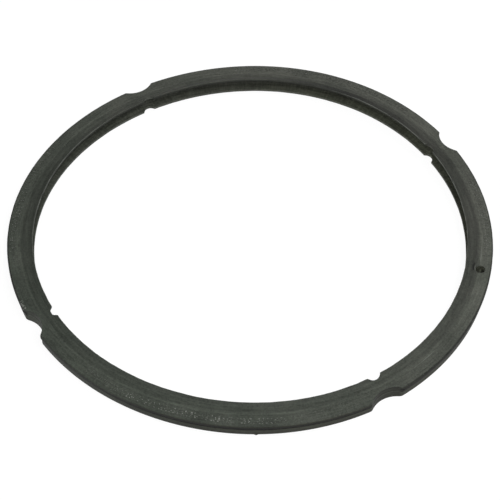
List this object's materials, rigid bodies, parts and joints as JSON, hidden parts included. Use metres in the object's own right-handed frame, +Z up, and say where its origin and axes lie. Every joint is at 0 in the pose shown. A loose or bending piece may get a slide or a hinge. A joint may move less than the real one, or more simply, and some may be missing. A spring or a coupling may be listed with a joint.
{
  "type": "pressure cooker lid sealing ring",
  "caption": "Moulded rubber sealing ring for a stovetop pressure cooker lid, with an inward-facing lip groove, scallops cut in both edges and a blind locating hole.",
  "frame": {"origin": "centre of the ring's flat underside, on the ring's axis", "axes": "+Z up along the ring's axis, from the flat lower lip to the rising upper lip; +X through the blind locating hole; the scallops lie midway between the X and Y axes"},
  "size_m": [0.235, 0.235, 0.0084],
  "materials": {
    "rubber": "matt moulded rubber, dark grey with a slight green tint"
  },
  "bodies": {
    "root": {"sealing_ring": "rubber"}
  },
  "joints": []
}
